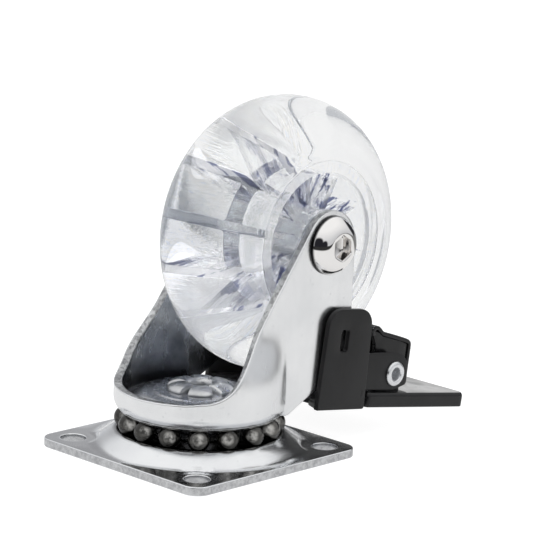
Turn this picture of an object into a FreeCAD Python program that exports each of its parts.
import FreeCAD, Part
import Sketcher
import math
import os

# Swivel caster wheel with a foot brake, standing on its mounting plate.
# Millimetres.  z = 0 is the plate's mounting face, the swivel axis is Z, the
# wheel is above the plate (in service the whole object hangs the other way
# up), the axle runs along Y and the wheel trails, with its brake, towards +X.
# "Near" is the -Y side, "far" the +Y side, "front" is -X.

V = FreeCAD.Vector
os.makedirs("parts", exist_ok=True)
doc = FreeCAD.newDocument("caster")

# ---------------------------------------------------------------- dimensions
DIMENSIONS = dict(
    # mounting plate and its dome
    plate_side=61.0, plate_thick=2.4, plate_corner=4.5,
    hole_half=23.7, hole_rad=3.4, relief_rad=6.5,
    dome_base=28.4, dome_lip=22.4, dome_top=6.3, dome_mid=7.2,
    # outer and inner ball races
    race_rad=19.9, race_z=8.6, ball_rad=3.0, groove_rad=3.05,
    race2_rad=11.5, race2_z=12.8, ball2_rad=2.0, groove2_rad=2.04,
    # kingpin, crown of the fork, race washer
    pin_rad=5.0, pin_head=9.0, pin_bore=3.0, petal_rad=9.3,
    crown_under=9.0, crown_dish=11.3, crown_floor=14.0, crown_edge=22.0, crown_hole=6.5,
    washer_edge=18.0, washer_top=17.2,
    # cup and legs of the fork
    cup_rad=23.2, leg_out=20.0, sheet=2.3, cup_foot=11.9, cup_wall=20.0,
    flat_z=38.0, leg_top=68.0, lip_z=18.4,
    trail=27.0, axle_z=56.3, eye_rad=9.2, bolt_hole=4.1,
    # wheel
    wheel_rad=37.4, tread_sect=16.9, wheel_half=16.2,
    rim_out=22.0, rim_in=18.6, hub_out=9.0, hub_half=15.9,
    hub_bore=6.5, rib_half=12.0, rib_thick=1.8, web_half=1.5,
    # bushes, spacers, bolt and nut on the axle
    bush_bore=5.05, bush_flange=8.0, bush_flange_thick=0.8, bush_len=10.0,
    sleeve_out=5.0, spacer_thick=0.9,
    bolt_rad=4.0, head_rad=8.0, head_high=4.3, socket_af=6.0, socket_deep=3.2,
    nut_af=13.0, nut_high=8.0, nut_washer=1.6,
    # brake bracket (arm_lean in degrees)
    arm_thick=1.5, arm_lean=1.5, arm_x=22.6, arm_end=41.0, arm_low=10.9,
    arm_high=40.2, arm_fall=2.7,
    # brake pivot, pedal and shoe (pedal_tilt and brake_swing in degrees)
    pivot_x=55.2, pivot_z=16.4, rivet_rad=2.5, rivet_bore=1.8, rivet_head=3.5,
    ear_out=19.6, pedal_half=20.5, pedal_thick=1.2, pedal_drop=5.1,
    pedal_front=10.6, pedal_back=31.1, pedal_flange=4.2, pedal_tilt=9.4,
    shoe_half=15.9, brake_swing=18.0,
)


class Quantity:
    """A length that carries both its number and the sheet expression for it."""

    def __init__(self, value, expr):
        self.value = float(value)
        self.expr = expr

    def __add__(self, other):
        other = quantity(other)
        return Quantity(self.value + other.value, "(%s + %s)" % (self.expr, other.expr))

    def __sub__(self, other):
        other = quantity(other)
        return Quantity(self.value - other.value, "(%s - %s)" % (self.expr, other.expr))

    def __mul__(self, other):
        other = quantity(other)
        return Quantity(self.value * other.value, "(%s * %s)" % (self.expr, other.expr))

    def __neg__(self):
        return Quantity(-self.value, "(-1 * %s)" % self.expr)


def quantity(x):
    return x if isinstance(x, Quantity) else Quantity(x, "(%.6f)" % x)


class dims:
    """Every driving dimension as a Quantity: dims.trail here and in the sheet."""


sheet = doc.addObject("Spreadsheet::Sheet", "dims")
for row, (alias, number) in enumerate(DIMENSIONS.items(), 1):
    sheet.set("A%d" % row, alias)
    sheet.set("B%d" % row, str(number))
    sheet.setAlias("B%d" % row, alias)
doc.recompute()
for alias in DIMENSIONS:
    setattr(dims, alias, Quantity(sheet.get(alias), "dims." + alias))

# ------------------------------------------------------ shared by the pieces
X_AXIS, Y_AXIS, Z_AXIS = V(1, 0, 0), V(0, 1, 0), V(0, 0, 1)
ACROSS = FreeCAD.Rotation(X_AXIS, -90)              # turns local Z into +Y
TILT = FreeCAD.Rotation(Y_AXIS, dims.pedal_tilt.value)
FALL = FreeCAD.Rotation(Y_AXIS, 8.24)               # slope of the bracket's lower sheets
THROUGH = 60.0                                      # longer than anything it cuts across Y

dome_under = dims.dome_mid - dims.plate_thick       # underside of the dome's middle
leg_inner = dims.leg_out - dims.sheet               # inner face of the far leg
nut_face = dims.leg_out + dims.nut_washer           # where the nut bears on its washer
bracket_end = dims.arm_end - 1.6                    # x where the bracket's cross walls begin
pivot_hole = dims.rivet_rad + 0.05                  # in pedal and shoe
SHOE_RIVET_X, SHOE_RIVET_Y, SHOE_HOLE_RAD = 14.2, 6.0, 1.2     # from the pivot


# ------------------------------------------------------------------- sketches
def origin(body, role):
    return next(f for f in body.Origin.OriginFeatures if f.Role == role)


def new_sketch(body, name, plane, offset=None):
    sketch = body.newObject("Sketcher::SketchObject", name)
    sketch.AttachmentSupport = [(origin(body, plane), "")]
    sketch.MapMode = "FlatFace"
    if offset is not None:
        sketch.AttachmentOffset = FreeCAD.Placement(V(0, 0, 0), FreeCAD.Rotation())
        sketch.setExpression("AttachmentOffset.Base.z", quantity(offset).expr)
    return sketch


def constrain(sketch, value, *args):
    index = sketch.addConstraint(Sketcher.Constraint(*args, value.value))
    sketch.setExpression("Constraints[%d]" % index, value.expr)


def fix(sketch, geo, point, x, y):
    """Hold one point of the sketch at (x, y) by the sheet."""
    for kind, value, axis in (("DistanceX", x, -2), ("DistanceY", y, -1)):
        if abs(value.value) < 1e-9:
            sketch.addConstraint(Sketcher.Constraint("PointOnObject", geo, point, axis))
        elif value.value > 0:
            constrain(sketch, value, kind, -1, 1, geo, point)
        else:
            constrain(sketch, -value, kind, geo, point, -1, 1)


def outline(body, name, plane, points, offset=None):
    """A sketch holding one closed polygon."""
    sketch = new_sketch(body, name, plane, offset)
    points = [(quantity(x), quantity(y)) for x, y in points]
    corners = [V(x.value, y.value, 0) for x, y in points]
    count = len(points)
    lines = [sketch.addGeometry(Part.LineSegment(corners[i], corners[(i + 1) % count]), False)
             for i in range(count)]
    for i in range(count):
        sketch.addConstraint(
            Sketcher.Constraint("Coincident", lines[i], 2, lines[(i + 1) % count], 1))
    for line, (x, y) in zip(lines, points):
        fix(sketch, line, 1, x, y)
    return sketch


def circles(body, name, plane, rows, offset=None):
    """A sketch of circles; rows are (x, y, radius)."""
    sketch = new_sketch(body, name, plane, offset)
    for row in rows:
        x, y, radius = map(quantity, row)
        circle = Part.Circle(V(x.value, y.value, 0), Z_AXIS, radius.value)
        geo = sketch.addGeometry(circle, False)
        constrain(sketch, radius, "Radius", geo)
        fix(sketch, geo, 3, x, y)
    return sketch


def rectangle(x0, x1, y0, y1):
    return [(x0, y0), (x1, y0), (x1, y1), (x0, y1)]


def hexagon(across_flats, first_angle):
    radius = across_flats * (0.5 / math.cos(math.pi / 6))
    angles = [math.radians(60 * i + first_angle) for i in range(6)]
    return [(radius * math.cos(a), radius * math.sin(a)) for a in angles]


# ------------------------------------------------------------ body features
def new_body(name):
    return doc.addObject("PartDesign::Body", name)


def bind(obj, prop, value):
    """Set a property and bind it to the value's expression."""
    value = quantity(value)
    setattr(obj, prop, value.value)
    obj.setExpression(prop, value.expr)


def extrude(kind, body, name, sketch, length, mid, flip):
    feature = body.newObject(kind, name)
    feature.Profile = sketch
    bind(feature, "Length", length)
    feature.Midplane = mid
    feature.Reversed = flip
    return feature


def pad(body, name, sketch, length, mid=False, flip=False):
    """Along the sketch normal (XZ sketches face -Y); flip goes against it."""
    return extrude("PartDesign::Pad", body, name, sketch, length, mid, flip)


def pocket(body, name, sketch, length, mid=False, flip=False):
    """Against the sketch normal; flip goes along it."""
    return extrude("PartDesign::Pocket", body, name, sketch, length, mid, flip)


def revolve(body, name, sketch, kind="PartDesign::Revolution"):
    feature = body.newObject(kind, name)
    feature.Profile = sketch
    feature.ReferenceAxis = (sketch, ["V_Axis"])
    feature.Angle = 360.0
    sketch.Visibility = False


def turned(body, name, points):
    """Revolve (radius, height) points about the body's Z axis."""
    revolve(body, name, outline(body, name + "_profile", "XZ_Plane", points))


def turned_cut(body, name, points):
    sketch = outline(body, name + "_profile", "XZ_Plane", points)
    revolve(body, name, sketch, "PartDesign::Groove")


def ball_track(body, name, race_rad, z, groove_rad):
    sketch = circles(body, name + "_profile", "XZ_Plane", [(race_rad, z, groove_rad)])
    revolve(body, name, sketch, "PartDesign::Groove")


def polar(body, name, feature, count):
    doc.recompute()
    pattern = body.newObject("PartDesign::PolarPattern", name)
    pattern.Originals = [feature]
    pattern.Axis = (origin(body, "Z_Axis"), [""])
    pattern.Angle = 360.0
    pattern.Occurrences = count
    body.Tip = pattern
    doc.recompute()


def fillet(body, name, radius, *tests):
    """Round the edges of the body's tip that any of the tests accepts."""
    doc.recompute()
    base = body.Tip
    edges = ["Edge%d" % i for i, edge in enumerate(base.Shape.Edges, 1)
             if any(test(edge) for test in tests)]
    if not edges:
        raise RuntimeError("no edge for " + name)
    feature = body.newObject("PartDesign::Fillet", name)
    feature.Base = (base, edges)
    bind(feature, "Radius", radius)
    doc.recompute()


def ring(radius, z, tol=0.02):
    """Edge test: a circle of this radius about the local Z axis at height z."""
    radius, z = quantity(radius).value, quantity(z).value

    def test(edge):
        curve = edge.Curve
        return (isinstance(curve, Part.Circle) and abs(curve.Radius - radius) < tol
                and abs(curve.Center.z - z) < tol
                and math.hypot(curve.Center.x, curve.Center.y) < tol)
    return test


def straight(direction, tol=0.05, **at):
    """Edge test: runs along direction, its midpoint at the coordinates given."""
    def test(edge):
        middle = edge.valueAt(0.5 * (edge.FirstParameter + edge.LastParameter))
        return (abs(edge.tangentAt(edge.FirstParameter).dot(direction)) > 0.99
                and all(abs(getattr(middle, c) - quantity(v).value) < tol
                        for c, v in at.items()))
    return test


# ------------------------------------------------- primitives and booleans
def primitive(kind, name, **props):
    obj = doc.addObject(kind, name)
    for prop, value in props.items():
        bind(obj, prop, value)
    return obj


def place(obj, x, y, z, rotation=FreeCAD.Rotation()):
    x, y, z = map(quantity, (x, y, z))
    obj.Placement = FreeCAD.Placement(V(x.value, y.value, z.value), rotation)
    for axis, value in (("x", x), ("y", y), ("z", z)):
        if abs(value.value) > 1e-9:
            obj.setExpression("Placement.Base." + axis, value.expr)
    return obj


def cut(name, base, tool):
    obj = doc.addObject("Part::Cut", name)
    obj.Base = base
    obj.Tool = tool
    return obj


def combine(kind, name, shapes):
    obj = doc.addObject(kind, name)
    obj.Shapes = shapes
    return obj


def fuse(name, shapes):
    return combine("Part::MultiFuse", name, shapes)


def common(name, shapes):
    return combine("Part::MultiCommon", name, shapes)


def compound(name, links):
    obj = doc.addObject("Part::Compound", name)
    obj.Links = links
    return obj


def pair(name, make):
    return compound(name, [make(-1, name + "_near"), make(1, name + "_far")])


def box(name, length, width, height, x, y, z, rotation=FreeCAD.Rotation()):
    obj = primitive("Part::Box", name, Length=length, Width=width, Height=height)
    return place(obj, x, y, z, rotation)


def cylinder(name, radius, y0=-THROUGH / 2, y1=THROUGH / 2, x=dims.trail, z=dims.axle_z):
    """A cylinder along Y from y0 to y1, about the axle unless x and z differ."""
    obj = primitive("Part::Cylinder", name, Radius=radius, Height=quantity(y1) - y0)
    return place(obj, x, y0, z, ACROSS)


def tube(name, r_in, r_out, y0, y1):
    """A plain sleeve about the axle from y0 to y1."""
    return cut(name, cylinder(name + "_out", r_out, y0, y1),
               cylinder(name + "_in", r_in, y0 - 1.0, y1 + 1.0))


def side_tube(side, name, r_in, r_out, low, high):
    """A sleeve from low to high on the far side, or its mirror on the near side."""
    y0, y1 = (low, high) if side > 0 else (-high, -low)
    return tube(name, r_in, r_out, y0, y1)


# ----------------------------------------------------------- swivel pieces
def top_plate():
    body = new_body("top_plate")
    half = dims.plate_side * 0.5
    sketch = outline(body, "plate_outline", "XY_Plane", rectangle(-half, half, -half, half))
    pad(body, "plate_sheet", sketch, dims.plate_thick)
    fillet(body, "plate_corners", dims.plate_corner, straight(Z_AXIS))
    turned(body, "dome", [
        (0.0, 1.2), (dims.dome_base - 1.0, 1.2), (dims.dome_base, dims.plate_thick),
        (dims.dome_lip, dims.dome_top), (dims.race_rad - 2.5, dims.dome_top),
        (dims.race_rad - 3.1, dims.dome_mid), (0.0, dims.dome_mid)])
    fillet(body, "dome_foot", 2.2, ring(dims.dome_base, dims.plate_thick))
    hollow_rad = 26.9
    turned_cut(body, "under_hollow", [
        (0.0, -1.0), (hollow_rad + 0.2, -1.0), (hollow_rad, 0.0), (dims.dome_lip - 0.3, 3.1),
        (dims.race_rad - 2.2, 3.1), (dims.race_rad - 3.0, dome_under), (0.0, dome_under)])
    fillet(body, "hollow_edge", 1.6, ring(hollow_rad, 0.0))
    ball_track(body, "ball_groove", dims.race_rad, dims.race_z, dims.groove_rad)
    fillet(body, "race_lip", 0.45, ring(dims.dome_lip, dims.dome_top))

    corners = [(dims.hole_half * sx, dims.hole_half * sy) for sx in (-1, 1) for sy in (-1, 1)]
    # the dome is cleared away above the plate around each screw hole
    sketch = circles(body, "relief_circles", "XY_Plane",
                     [(x, y, dims.relief_rad) for x, y in corners], dims.plate_thick)
    pocket(body, "reliefs", sketch, 8.0, flip=True)
    sketch = circles(body, "hole_circles", "XY_Plane",
                     [(x, y, dims.hole_rad) for x, y in corners] + [(0, 0, dims.pin_rad)])
    pocket(body, "holes", sketch, 30.0, mid=True)
    return body


def kingpin():
    """Hollow pin, headed under the dome and spread into petals over the washer."""
    body = new_body("kingpin")
    top = dims.washer_top
    turned(body, "pin_blank", [
        (0.0, dome_under - 2.0), (dims.pin_head - 0.6, dome_under - 2.0),
        (dims.pin_head, dome_under - 1.4), (dims.pin_head, dome_under),
        (dims.pin_rad, dome_under), (dims.pin_rad, top),
        (dims.petal_rad, top), (dims.petal_rad - 0.2, top + 1.1),
        (6.6, top + 2.1), (4.4, top + 2.2), (dims.pin_bore, top + 1.2),
        (dims.pin_bore, 9.0), (0.0, 8.0)])
    fillet(body, "petal_round", 0.4, ring(dims.petal_rad - 0.2, top + 1.1),
           ring(6.6, top + 2.1), ring(4.4, top + 2.2))
    sketch = circles(body, "petal_gap", "XY_Plane", [(10.6, 0, 3.0)], top + 3.0)
    polar(body, "petals", pocket(body, "petal_notch", sketch, 3.0), 6)
    return body


def race_washer():
    body = new_body("race_washer")
    edge = dims.washer_edge
    turned(body, "washer_disc", [
        (dims.pin_rad, 14.7), (edge - 0.3, 14.35), (edge, 14.65),
        (edge - 0.1, 15.5), (edge - 2.6, 16.5), (9.6, dims.washer_top),
        (dims.pin_rad, dims.washer_top)])
    fillet(body, "washer_round", 0.5, ring(edge - 0.1, 15.5), ring(edge - 2.6, 16.5))
    ball_track(body, "washer_groove", dims.race2_rad, dims.race2_z, dims.groove2_rad)
    return body


def ball_ring(name, ball_rad, race_rad, z, count=16):
    balls = []
    for i in range(count):
        angle = 360.0 / count * i
        ball = primitive("Part::Sphere", "%s_%d" % (name, i), Radius=ball_rad)
        ball.setExpression("Placement.Base.x", "%s * cos(%f deg)" % (race_rad.expr, angle))
        ball.setExpression("Placement.Base.y", "%s * sin(%f deg)" % (race_rad.expr, angle))
        ball.setExpression("Placement.Base.z", z.expr)
        balls.append(ball)
    return compound(name, balls)


# --------------------------------------------------------------------- fork
def crown_form():
    """The dished floor of the cup with both ball tracks."""
    body = new_body("crown_form")
    turned(body, "crown_disc", [
        (dims.crown_hole, dims.crown_under), (16.5, dims.crown_under), (17.6, 10.9),
        (21.5, 11.2), (dims.crown_edge, 12.2), (dims.crown_edge, 13.4),
        (dims.crown_edge - 0.6, dims.crown_floor), (16.6, dims.crown_floor),
        (14.6, dims.crown_dish), (dims.crown_hole, dims.crown_dish)])
    fillet(body, "dish_round", 1.0, ring(16.6, dims.crown_floor), ring(14.6, dims.crown_dish))
    ball_track(body, "outer_track", dims.race_rad, dims.race_z, dims.groove_rad)
    ball_track(body, "inner_track", dims.race2_rad, dims.race2_z, dims.groove2_rad)
    return body


def front_points(z, radius, leg, blend):
    """Round front of the cup running into two flat legs, one plan section.
    blend 1 is the full round cup, 0 is flat legs all the way forward."""
    flat_from = -8.0                # x behind which blend 0 is fully flat
    join_y = math.sqrt(radius * radius - flat_from * flat_from)
    start = math.atan2(leg, math.sqrt(radius * radius - leg * leg))
    steps = 36
    points = []
    for i in range(steps + 1):
        angle = start + (2 * math.pi - 2 * start) * i / steps
        x, y = radius * math.cos(angle), radius * math.sin(angle)
        flat_y = y * leg / join_y if x <= flat_from else math.copysign(leg, y)
        points.append(V(x, flat_y + (y - flat_y) * blend, z))
    return points


def cup_wire(z, outer_rad, inner_rad, blend):
    """Closed plan section of the U-shaped sheet, open towards +X."""
    tail = 46.0
    outer = front_points(z, outer_rad, dims.leg_out.value, blend)
    inner = front_points(z, inner_rad, leg_inner.value, blend)
    inner.reverse()
    outer_curve, inner_curve = Part.BSplineCurve(), Part.BSplineCurve()
    outer_curve.interpolate(outer)
    inner_curve.interpolate(inner)

    def leg_end(start, end):
        """Back along one leg, across its thickness and forward again."""
        corners = [start, V(tail, start.y, z), V(tail, end.y, z), end]
        return [Part.makeLine(a, b) for a, b in zip(corners, corners[1:])]

    return Part.Wire([outer_curve.toShape()] + leg_end(outer[-1], inner[0])
                     + [inner_curve.toShape()] + leg_end(inner[-1], outer[0]))


def cup_zone(name, rows, ruled):
    """Loft plan sections; rows are (z, outer radius taken off, blend)."""
    cup = dims.cup_rad.value
    inner = cup - dims.sheet.value
    zone = doc.addObject("Part::Feature", name)
    wires = [cup_wire(z, cup - less, inner, blend) for z, less, blend in rows]
    zone.Shape = Part.makeLoft(wires, True, ruled)
    return zone


def cup_shell():
    foot, wall = dims.cup_foot.value, dims.cup_wall.value
    flat, top = dims.flat_z.value, dims.leg_top.value
    # rounded lower edge: (height above the foot, outer radius taken off)
    shoulder = ((0.0, 1.3), (0.3, 0.82), (0.8, 0.45), (1.5, 0.2), (2.4, 0.06), (3.4, 0.0))
    steps = 8
    to_legs = [(wall + (flat - wall) * k / steps, 0.0, 0.5 + 0.5 * math.cos(math.pi * k / steps))
               for k in range(steps + 1)]
    return fuse("cup_shell", [
        cup_zone("cup_shoulder", [(foot + up, less, 1.0) for up, less in shoulder], True),
        cup_zone("cup_wall_round", [(foot + shoulder[-1][0], 0.0, 1.0), (wall, 0.0, 1.0)], True),
        cup_zone("cup_to_legs", to_legs, False),
        cup_zone("flat_legs", [(flat, 0.0, 0.0), (top, 0.0, 0.0)], True)])


def side_outline():
    """Side view of the pressing: low front lip, raked leg, rear and lower edges."""
    body = new_body("side_outline")
    eye_back = dims.trail + dims.eye_rad
    lip = (-11.2, dims.lip_z + 0.9)
    rear = [(eye_back, 31.0), (31.0, 21.6), (22.2, 16.5)]
    sketch = outline(body, "side_lines", "XZ_Plane", [
        (-30.0, dims.lip_z - 0.2), lip, (19.5, 61.65),
        (dims.trail, dims.axle_z), (eye_back, dims.axle_z)] + rear + [
        (13.2, 11.8), (12.0, 11.0), (-30.0, 11.0)])
    pad(body, "side_block", sketch, THROUGH, mid=True)
    fillet(body, "lip_sweep", 11.0, straight(Y_AXIS, x=lip[0], z=lip[1]))
    fillet(body, "rear_sweep", 5.0, *[straight(Y_AXIS, x=x, z=z) for x, z in rear])
    return body


def fork():
    crown = crown_form()
    shell = cup_shell()
    mask = fuse("side_mask", [side_outline(), cylinder("leg_eyes", dims.eye_rad)])
    legs = common("cup_and_legs", [shell, mask])
    pressing = fuse("fork_pressing", [crown, legs])
    return cut("fork", pressing, cylinder("axle_holes", dims.bolt_hole))


# -------------------------------------------------------------------- wheel
def wheel_tread():
    torus = primitive("Part::Torus", "tread_ring", Radius1=dims.wheel_rad - dims.tread_sect,
                      Radius2=dims.tread_sect)
    place(torus, dims.trail, 0, dims.axle_z, ACROSS)
    width = cylinder("tread_width", 60.0, -dims.wheel_half, dims.wheel_half)
    seat = cylinder("tread_seat", dims.rim_out)
    return cut("wheel_tread", common("tread_blank", [torus, width]), seat)


def wheel_core():
    body = new_body("wheel_core")
    # ribs sit at 24 + 36 k degrees up from +X
    turn = FreeCAD.Rotation(Y_AXIS, -24.0)
    place(body, dims.trail, 0, dims.axle_z, turn.multiply(ACROSS))
    # (radius, half width) from the hub bore out to the rim
    half_section = [
        (dims.hub_bore, dims.hub_half), (dims.hub_out, dims.hub_half),
        (dims.hub_out + 0.6, dims.web_half), (dims.rim_in, dims.web_half),
        (dims.rim_in + 0.5, dims.wheel_half), (dims.rim_out, dims.wheel_half)]
    turned(body, "core_section", [(r, -z) for r, z in half_section] + half_section[::-1])
    rib_half_thick = dims.rib_thick * 0.5
    sketch = outline(body, "rib_outline", "XY_Plane", rectangle(
        dims.hub_out - 0.6, dims.rim_in + 1.0, -rib_half_thick, rib_half_thick))
    polar(body, "ribs", pad(body, "rib", sketch, dims.rib_half * 2.0, mid=True), 10)
    return body


# ------------------------------------------------------- pieces on the axle
def hub_bush(side, name):
    end = dims.hub_half
    barrel = side_tube(side, name + "_barrel", dims.bush_bore, dims.hub_bore,
                       end - dims.bush_len, end + 0.1)
    flange = side_tube(side, name + "_flange", dims.bush_bore, dims.bush_flange,
                       end, end + dims.bush_flange_thick)
    return fuse(name, [barrel, flange])


def hub_spacer(side, name):
    face = leg_inner - 0.02
    return side_tube(side, name, dims.sleeve_out + 0.03, dims.bush_flange,
                     face - dims.spacer_thick, face)


def axle_bolt():
    """Button head with a hexagon socket on the near side."""
    body = new_body("axle_bolt")
    place(body, dims.trail, 0, dims.axle_z, ACROSS)
    under = -dims.leg_out - 0.02            # seat of the head
    head_top = under - dims.head_high
    sketch = outline(body, "bolt_profile", "XZ_Plane", [
        (0, head_top), (3.6, head_top), (5.9, head_top + 1.0),
        (7.3, head_top + 2.3), (7.9, under - 0.8), (dims.head_rad, under - 0.3),
        (dims.head_rad - 0.2, under), (dims.bolt_rad, under),
        (dims.bolt_rad, nut_face + 9.2), (dims.bolt_rad - 0.8, nut_face + 10.0),
        (0, nut_face + 10.0)])
    revolve(body, "bolt_turned", sketch)
    sketch = outline(body, "socket_outline", "XY_Plane", hexagon(dims.socket_af, 90), head_top)
    pocket(body, "socket", sketch, dims.socket_deep, flip=True)
    return body


def axle_nut():
    """Hexagon nut with a round collar, recessed for its locking ring."""
    body = new_body("axle_nut")
    place(body, dims.trail, 0, dims.axle_z, ACROSS)
    sketch = outline(body, "nut_outline", "XY_Plane", hexagon(dims.nut_af, 0), nut_face)
    pad(body, "nut_hex", sketch, dims.nut_high - 1.8)
    top = nut_face + dims.nut_high
    turned(body, "nut_collar", [
        (0, nut_face + 4.0), (6.2, nut_face + 4.0), (6.2, top - 0.6), (5.6, top), (0, top)])
    turned_cut(body, "nut_chamfer", [
        (6.3, nut_face - 0.1), (9.0, nut_face - 0.1), (9.0, nut_face + 1.1)])
    bore = dims.bolt_rad + 0.01
    turned_cut(body, "nut_bore", [
        (0, nut_face - 1.0), (bore, nut_face - 1.0), (bore, nut_face + 5.4),
        (5.1, nut_face + 5.4), (5.1, nut_face + 7.4), (4.5, nut_face + 7.6),
        (4.5, nut_face + 10.0), (0, nut_face + 10.0)])
    return body


# ------------------------------------------------------------ brake bracket
def bracket_arm():
    """Near arm: a flat tongue on the outside of the leg, leaning out at its top."""
    body = new_body("bracket_arm")
    place(body, 0, -(dims.leg_out + 0.05), dims.arm_low,
          FreeCAD.Rotation(X_AXIS, dims.arm_lean.value))
    tall = dims.arm_high - dims.arm_low
    top_back = (dims.arm_end + 1.6, tall - 3.22)
    top_front = (dims.arm_x + 3.3, tall - 0.73)
    # lower and upper edges fall towards the pedal
    sketch = outline(body, "arm_outline", "XZ_Plane", [
        (dims.arm_x, 1.0), (dims.arm_end + 0.2, -dims.arm_fall + 1.0), top_back, top_front])
    pad(body, "arm_sheet", sketch, dims.arm_thick)
    fillet(body, "arm_corners", 5.0,
           *[straight(Y_AXIS, x=x, z=z) for x, z in (top_front, top_back)])
    sketch = outline(body, "slot_outline", "XZ_Plane",
                     [(30.0, 16.1), (33.0, 15.6), (33.6, 21.7), (30.4, 22.2)])
    pocket(body, "slot", sketch, 10.0, mid=True)
    return body


def bracket_hook():
    """Sloping sheet reaching inwards from the foot of the arm."""
    body = new_body("bracket_hook")
    place(body, dims.arm_x, 0, dims.arm_low + 1.0, FALL)
    outer, inner, back = -dims.leg_out - 1.4, -14.8, 16.9
    sketch = outline(body, "hook_plan", "XY_Plane",
                     [(0, outer), (3.5, inner), (back, inner), (back, outer)])
    pad(body, "hook_sheet", sketch, dims.arm_thick)
    return body


def bracket_ear():
    """Upright sheet that carries the near end of the pedal pivot."""
    body = new_body("bracket_ear")
    sketch = outline(body, "ear_outline", "XZ_Plane", [
        (bracket_end, 14.35), (dims.pivot_x, dims.pivot_z - 4.65), (59.8, 12.5), (60.4, 13.2),
        (60.4, 19.2), (58.6, 21.4), (51.0, 22.9), (bracket_end, 24.4)],
        dims.ear_out - dims.arm_thick)
    pad(body, "ear_sheet", sketch, dims.arm_thick)
    return body


def brake_bracket():
    thick = dims.arm_thick
    near = fuse("bracket_near", [
        bracket_arm(), bracket_hook(),
        box("bracket_joggle", thick, 3.6, 12.0, bracket_end, -21.7, 12.6),
        bracket_ear()])
    far = doc.addObject("Part::Mirroring", "bracket_far")
    far.Source = near
    far.Base = V(0, 0, 0)
    far.Normal = Y_AXIS
    # sheets that cross from side to side
    web = box("bracket_web", thick, dims.ear_out * 2.0 - 0.4, 6.0,
              bracket_end, -dims.ear_out + 0.2, 13.2)
    floor = box("bracket_floor", 11.6, dims.leg_out * 2.0, thick,
                28.0, -dims.leg_out, dims.arm_low + 0.21, FALL)
    riser = box("bracket_riser", thick, dims.leg_out * 2.0 - 8.0, 5.4,
                bracket_end, -dims.leg_out + 4.0, dims.arm_low - 1.42)
    whole = fuse("bracket_whole", [near, far, web, floor, riser])
    bore = cylinder("bracket_bore", dims.rivet_rad, x=dims.pivot_x, z=dims.pivot_z)
    return cut("brake_bracket", whole, bore)


# ------------------------------------------------------- pedal and its shoe
def pedal_pivot_rivet():
    body = new_body("pedal_pivot_rivet")
    place(body, dims.pivot_x, 0, dims.pivot_z, ACROSS)
    ear, head = dims.ear_out, dims.rivet_head
    far_half = [(dims.rivet_rad, ear + 0.02), (head, ear + 0.02), (head, ear + 0.4),
                (head - 0.6, ear + 0.9), (dims.rivet_bore, ear + 0.9)]
    turned(body, "rivet_turned", [(r, -z) for r, z in far_half[::-1]] + far_half)
    return body


def pivot_body(name):
    """A body built level about the pivot, then tilted tip-down (released)."""
    return place(new_body(name), dims.pivot_x, 0, dims.pivot_z, TILT)


def pivot_bore(body, sketch_name, name):
    sketch = circles(body, sketch_name, "XZ_Plane", [(0, 0, pivot_hole)])
    pocket(body, name, sketch, THROUGH, mid=True)


def shoe_rivet_bores(body, sketch_name, name):
    rows = [(SHOE_RIVET_X, y, SHOE_HOLE_RAD) for y in (-SHOE_RIVET_Y, SHOE_RIVET_Y)]
    sketch = circles(body, sketch_name, "XY_Plane", rows, -dims.pedal_drop)
    pocket(body, name, sketch, 6.0, mid=True)


def brake_pedal():
    """A shallow tray with its hollow facing the plate, hung on two lugs."""
    body = pivot_body("brake_pedal")
    half, thick, drop = dims.pedal_half, dims.pedal_thick, dims.pedal_drop
    front, back = -dims.pedal_front, dims.pedal_back
    sketch = outline(body, "pedal_plan", "XY_Plane", rectangle(front, back, -half, half), -drop)
    pad(body, "pedal_sheet", sketch, dims.pedal_flange, flip=True)
    inside = rectangle(front + thick, back - thick, -half + thick, half - thick)
    sketch = outline(body, "pedal_under", "XY_Plane", inside, -drop - dims.pedal_flange)
    pocket(body, "pedal_hollow", sketch, dims.pedal_flange - thick, flip=True)
    fillet(body, "pedal_corners", 1.6,
           *[straight(Z_AXIS, x=back, y=y) for y in (-half, half)])
    lug_inner = 16.4
    for side, offset in (("near", lug_inner), ("far", -thick - lug_inner)):
        sketch = outline(body, "lug_outline_" + side, "XZ_Plane", [
            (-4.6, -drop - 0.6), (5.4, -drop - 0.6), (4.4, 2.2),
            (2.6, 4.2), (-2.6, 4.2), (-4.4, 2.2)], offset)
        pad(body, "lug_" + side, sketch, thick)
    pivot_bore(body, "pivot_holes", "pivot_bore")
    shoe_rivet_bores(body, "shoe_rivet_holes", "shoe_holes")
    return body


def shoe_form():
    """A saddle: nose towards the tread, skirt down to the pedal, foot flange
    riveted to it."""
    body = pivot_body("shoe_form")
    foot = -dims.pedal_drop + 0.02
    foot_top = foot + 0.7
    sketch = outline(body, "shoe_side", "XZ_Plane", [
        (-7.6, 11.4), (-5.8, 12.6), (-3.9, 12.0), (-2.6, 10.9), (5.4, 9.6), (8.6, 8.9),
        (9.6, 8.0), (9.7, 6.8), (9.9, 0.4), (10.3, foot_top), (16.6, foot_top),
        (16.6, foot), (8.9, foot), (8.5, 0.4), (8.2, 6.6), (7.8, 7.4), (5.2, 8.0),
        (3.6, 3.0), (2.0, -3.6), (-2.0, -3.6), (-3.8, 0.0), (-4.4, 7.0), (-6.0, 9.2)])
    pad(body, "shoe_block", sketch, dims.shoe_half * 2.0, mid=True)
    pivot_bore(body, "shoe_eye", "shoe_bore")
    # openings either side of the middle: sketch, pocket, y from, y to
    for sketch_name, name, y0, y1 in (("shoe_waist", "waist_near", -12.6, -4.0),
                                      ("shoe_waist_far", "waist_far", 4.0, 12.6)):
        sketch = outline(body, sketch_name, "XY_Plane", rectangle(-9.0, 7.0, y0, y1), -6.0)
        pocket(body, name, sketch, 13.4, flip=True)
    shoe_rivet_bores(body, "foot_holes", "foot_bore")
    return body


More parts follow.
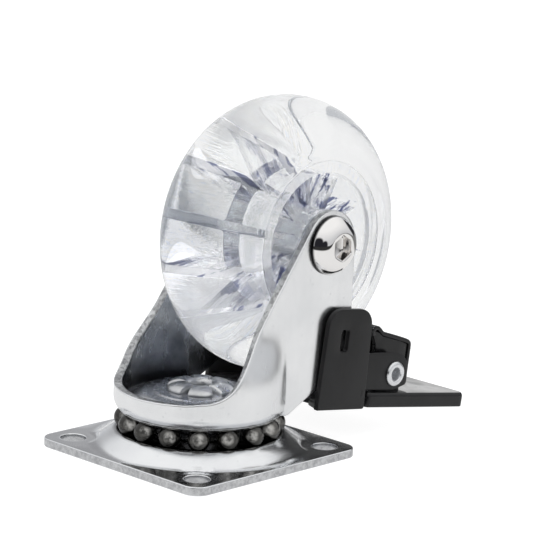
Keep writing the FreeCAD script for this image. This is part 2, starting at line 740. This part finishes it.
def brake_shoe():
    form = shoe_form()
    pivot_x, pivot_z = dims.pivot_x.value, dims.pivot_z.value
    swing = dims.brake_swing.value
    tread_ring = dims.wheel_rad - dims.tread_sect
    section = dims.tread_sect + 0.04
    to_axle = V(dims.trail.value - pivot_x, 0, dims.axle_z.value - pivot_z)

    # the tread as it stands against the shoe when the pedal is fully down
    tread = primitive("Part::Torus", "tread_in_shoe", Radius1=tread_ring, Radius2=section)
    engaged = FreeCAD.Rotation(Y_AXIS, swing).multVec(to_axle)
    tread.Placement = FreeCAD.Placement(V(pivot_x + engaged.x, 0, pivot_z + engaged.z), ACROSS)

    # and the room the tread takes from the nose on the way there: past the line
    # from pivot to axle it is the tread's section turned about the pivot
    reach = math.hypot(to_axle.x, to_axle.z)
    bearing = math.degrees(math.atan2(to_axle.z, to_axle.x)) - swing
    arc = 45.0
    sweep = primitive("Part::Torus", "tread_on_the_way",
                      Radius1=reach - tread_ring.value, Radius2=section)
    sweep.Angle3 = arc
    turn = FreeCAD.Rotation(Y_AXIS, -(bearing + arc))
    sweep.Placement = FreeCAD.Placement(V(pivot_x, 0, pivot_z), turn.multiply(ACROSS))
    return cut("brake_shoe", cut("shoe_engaged", form, tread), sweep)


def shoe_rivet(side, name):
    body = new_body(name)
    pivot = FreeCAD.Placement(V(dims.pivot_x.value, 0, dims.pivot_z.value), TILT)
    seat = FreeCAD.Placement(V(SHOE_RIVET_X, SHOE_RIVET_Y * side, 0), FreeCAD.Rotation())
    body.Placement = pivot.multiply(seat)
    # (radius, height above the pedal's top face)
    profile = [(0, -2.0), (1.6, -2.0), (2.0, -1.7), (2.0, -1.22), (1.19, -1.22),
               (1.19, 0.74), (2.1, 0.74), (2.0, 1.1), (1.3, 1.35), (0, 1.4)]
    turned(body, name + "_turned", [(r, -dims.pedal_drop + up) for r, up in profile])
    return body


def detent_spring():
    """Bent strip standing on the bracket's web, its tip towards the pivot."""
    body = new_body("detent_spring")
    front, back = dims.arm_end - 0.08, dims.arm_end + 0.42
    sketch = outline(body, "spring_side", "XZ_Plane", [
        (front, 14.6), (back, 14.6), (back, 18.2), (45.6, 18.9), (48.6, 17.0),
        (49.6, 17.8), (49.2, 18.2), (48.6, 17.7), (45.8, 19.5), (front, 18.9)])
    pad(body, "spring_strip", sketch, 7.6, mid=True)
    return body


# ------------------------------------------------------------------- output
parts = [
    top_plate(),
    kingpin(),
    race_washer(),
    ball_ring("outer_swivel_balls", dims.ball_rad, dims.race_rad, dims.race_z),
    ball_ring("inner_swivel_balls", dims.ball2_rad, dims.race2_rad, dims.race2_z),
    fork(),
    wheel_tread(),
    wheel_core(),
    pair("hub_bushes", hub_bush),
    pair("hub_spacers", hub_spacer),
    tube("axle_sleeve", dims.bolt_hole, dims.sleeve_out, -leg_inner, leg_inner),
    axle_bolt(),
    tube("axle_washer", dims.bolt_hole, 8.0, dims.leg_out, nut_face),
    axle_nut(),
    tube("nut_locking_ring", dims.bolt_rad + 0.01, 5.09, nut_face + 5.42, nut_face + 7.3),
    brake_bracket(),
    pedal_pivot_rivet(),
    brake_pedal(),
    brake_shoe(),
    pair("shoe_rivets", shoe_rivet),
    detent_spring(),
]
doc.recompute()
bad = [(o.Name, o.State) for o in doc.Objects if "Invalid" in o.State or "Error" in o.State]
bad += [(o.Label, "shape") for o in parts if o.Shape.isNull() or not o.Shape.isValid()]
if bad:
    raise RuntimeError("bad objects: %r" % bad)
for part in parts:
    part.Shape.exportStep("parts/%s.step" % part.Label)
